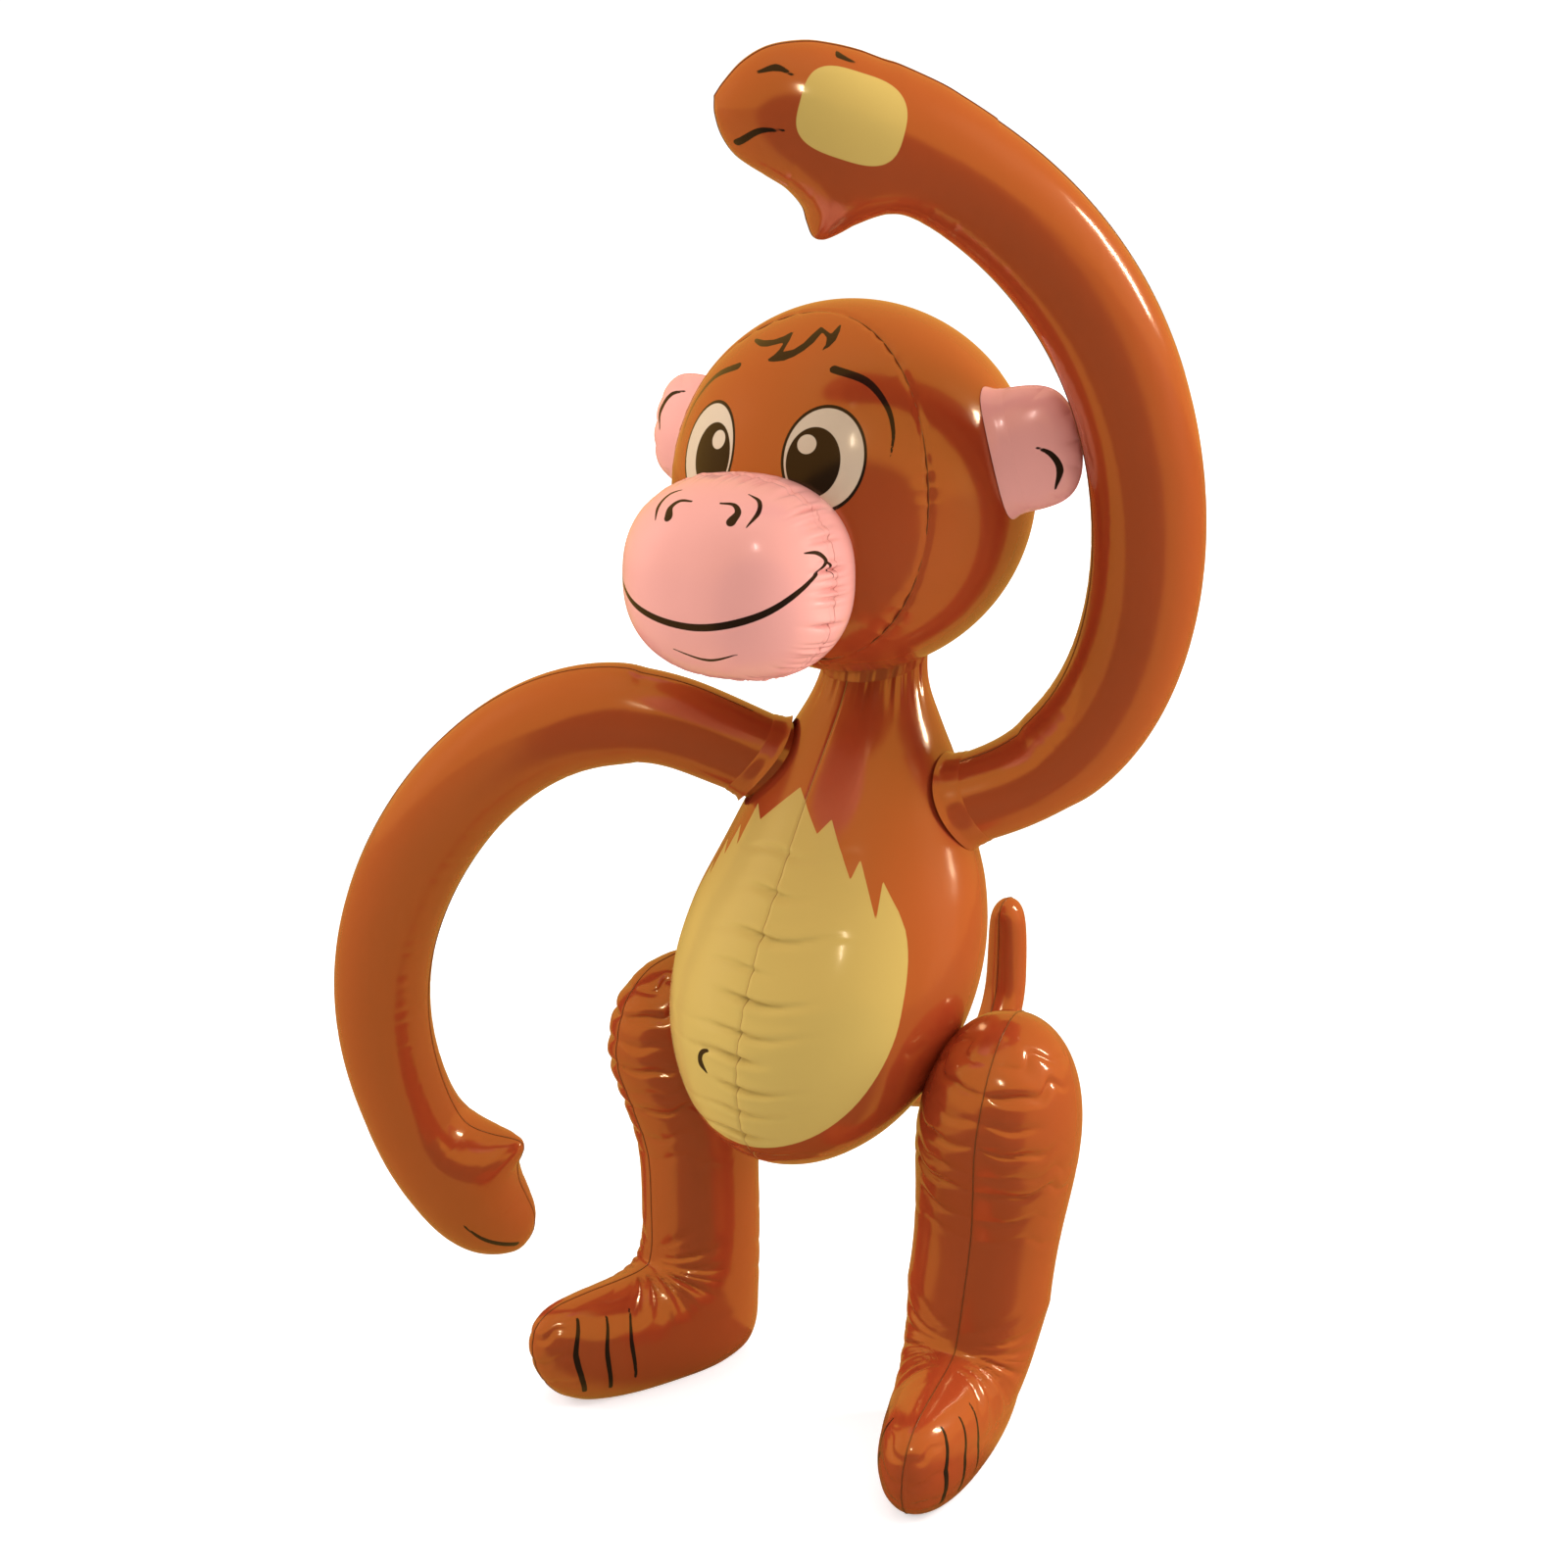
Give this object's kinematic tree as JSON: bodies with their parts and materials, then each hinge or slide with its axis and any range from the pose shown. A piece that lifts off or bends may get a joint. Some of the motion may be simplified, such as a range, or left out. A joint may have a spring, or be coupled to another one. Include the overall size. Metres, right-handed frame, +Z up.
{
  "type": "inflatable_monkey",
  "caption": "Glossy inflatable vinyl monkey standing upright, one long arm raised overhead and the other hanging, with pink muzzle and ears and a curled tail",
  "frame": {"origin": "centre of the overall bounding box in X and Y, on the floor plane under the soles", "axes": "+Z up, the monkey faces -Y, its own left side is +X"},
  "size_m": [0.4288, 0.3102, 0.6136],
  "materials": {
    "brown_vinyl": "glossy reddish-brown inflated vinyl film",
    "pink_vinyl": "glossy pink inflated vinyl film"
  },
  "bodies": {
    "root": {"torso": "brown_vinyl", "head": "brown_vinyl", "muzzle": "pink_vinyl", "ear_left": "pink_vinyl", "ear_right": "pink_vinyl", "arm_left": "brown_vinyl", "arm_right": "brown_vinyl", "leg_left": "brown_vinyl", "leg_right": "brown_vinyl", "tail": "brown_vinyl"}
  },
  "joints": []
}
